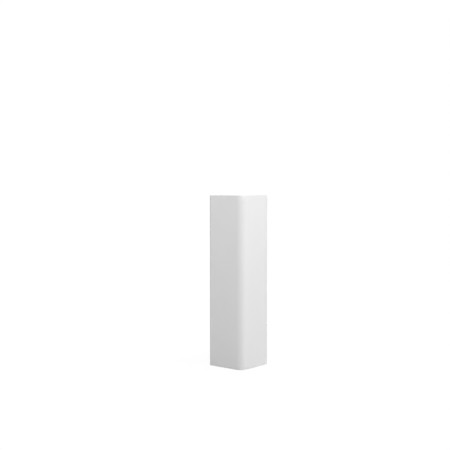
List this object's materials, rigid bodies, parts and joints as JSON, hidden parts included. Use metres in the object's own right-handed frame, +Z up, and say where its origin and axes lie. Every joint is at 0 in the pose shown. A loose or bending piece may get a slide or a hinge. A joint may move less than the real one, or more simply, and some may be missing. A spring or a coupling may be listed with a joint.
{
  "type": "outside corner moulding",
  "caption": "Plain upright L-section moulding with a rounded outer corner, which stands on the floor and wraps the outside corner of a wall.",
  "frame": {"origin": "the middle of the base of the bounding box, on the floor", "axes": "+Z up along the moulding's height; the two outer faces look towards -X and -Y; the inside angle for the wall's corner opens towards +X and +Y"},
  "size_m": [0.025, 0.025, 0.1],
  "materials": {
    "white_polymer": "smooth satin white, coloured right through"
  },
  "bodies": {
    "root": {"corner_moulding": "white_polymer"}
  },
  "joints": []
}
